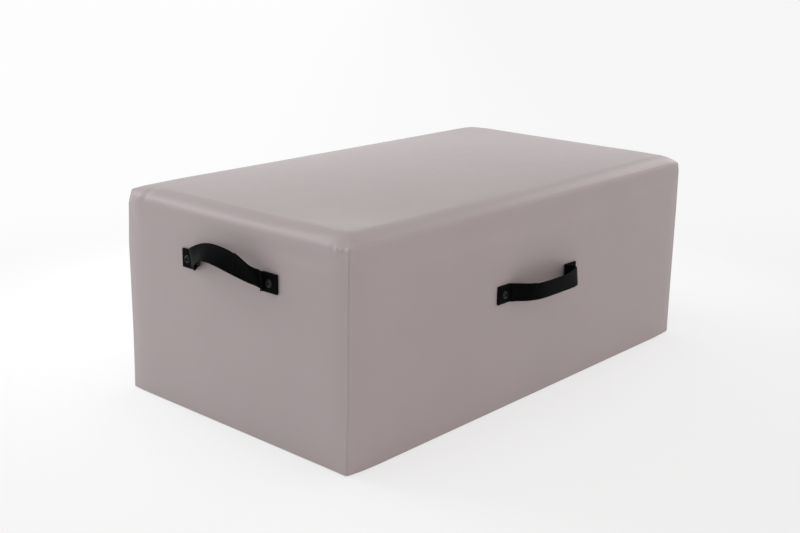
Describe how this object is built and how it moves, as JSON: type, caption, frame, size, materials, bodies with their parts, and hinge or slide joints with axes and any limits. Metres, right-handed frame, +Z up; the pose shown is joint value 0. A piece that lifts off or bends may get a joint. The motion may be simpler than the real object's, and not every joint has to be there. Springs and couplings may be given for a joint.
{
  "type": "pilates sitting box",
  "caption": "Padded, vinyl-covered plywood box for sitting and lying exercises, with a crowned foam top, a non-slip base and webbing carrying handles on both ends and one long side.",
  "frame": {"origin": "middle of the underside, on the floor", "axes": "+X along the box, +Y across it away from the side with the handle, +Z up"},
  "size_m": [0.7891, 0.4418, 0.292],
  "materials": {
    "vinyl": "satin taupe upholstery vinyl with a fine grain",
    "base_sheet": "matt black non-slip sheet",
    "foam": "open-cell upholstery foam",
    "plywood": "sanded birch plywood",
    "softwood": "sawn pine batten",
    "webbing": "black polypropylene webbing, plain weave",
    "black_steel": "black oxide steel",
    "zinc_steel": "zinc plated steel"
  },
  "bodies": {
    "box": {"vinyl_cover": "vinyl", "non_slip_base": "base_sheet", "top_foam": "foam", "side_foam_front": "foam", "side_foam_back": "foam", "end_foam_left": "foam", "end_foam_right": "foam", "deck_panel": "plywood", "side_panel_front": "plywood", "side_panel_back": "plywood", "end_panel_left": "plywood", "end_panel_right": "plywood", "cross_rib_left": "plywood", "cross_rib_right": "plywood", "bottom_rail_front": "softwood", "bottom_rail_back": "softwood", "bottom_rail_left": "softwood", "bottom_rail_right": "softwood", "corner_block_front_left": "softwood", "corner_block_front_right": "softwood", "corner_block_back_left": "softwood", "corner_block_back_right": "softwood", "left_end_handle_tab_a": "webbing", "left_end_handle_tab_b": "webbing", "right_end_handle_tab_a": "webbing", "right_end_handle_tab_b": "webbing", "front_handle_tab_a": "webbing", "front_handle_tab_b": "webbing", "left_end_handle_screw_a": "black_steel", "left_end_handle_screw_b": "black_steel", "right_end_handle_screw_a": "black_steel", "right_end_handle_screw_b": "black_steel", "front_handle_screw_a": "black_steel", "front_handle_screw_b": "black_steel", "left_end_handle_tee_nut_a": "zinc_steel", "left_end_handle_tee_nut_b": "zinc_steel", "right_end_handle_tee_nut_a": "zinc_steel", "right_end_handle_tee_nut_b": "zinc_steel", "front_handle_tee_nut_a": "zinc_steel", "front_handle_tee_nut_b": "zinc_steel"},
    "left_end_grip": {"left_end_handle_grip": "webbing"},
    "right_end_grip": {"right_end_handle_grip": "webbing"},
    "front_grip": {"front_handle_grip": "webbing"}
  },
  "joints": [
    {"name": "left_end_handle_swing", "type": "hinge", "parent": "box", "child": "left_end_grip", "pos_m": [-0.362, -0.005, 0.208], "axis": [0, 1, 0], "range_deg": [-40, 24]},
    {"name": "right_end_handle_swing", "type": "hinge", "parent": "box", "child": "right_end_grip", "pos_m": [0.362, -0.005, 0.208], "axis": [0, -1, 0], "range_deg": [-34, 34]},
    {"name": "front_handle_swing", "type": "hinge", "parent": "box", "child": "front_grip", "pos_m": [-0.005, -0.2055, 0.159], "axis": [-1, 0, 0], "range_deg": [-34, 34]}
  ]
}
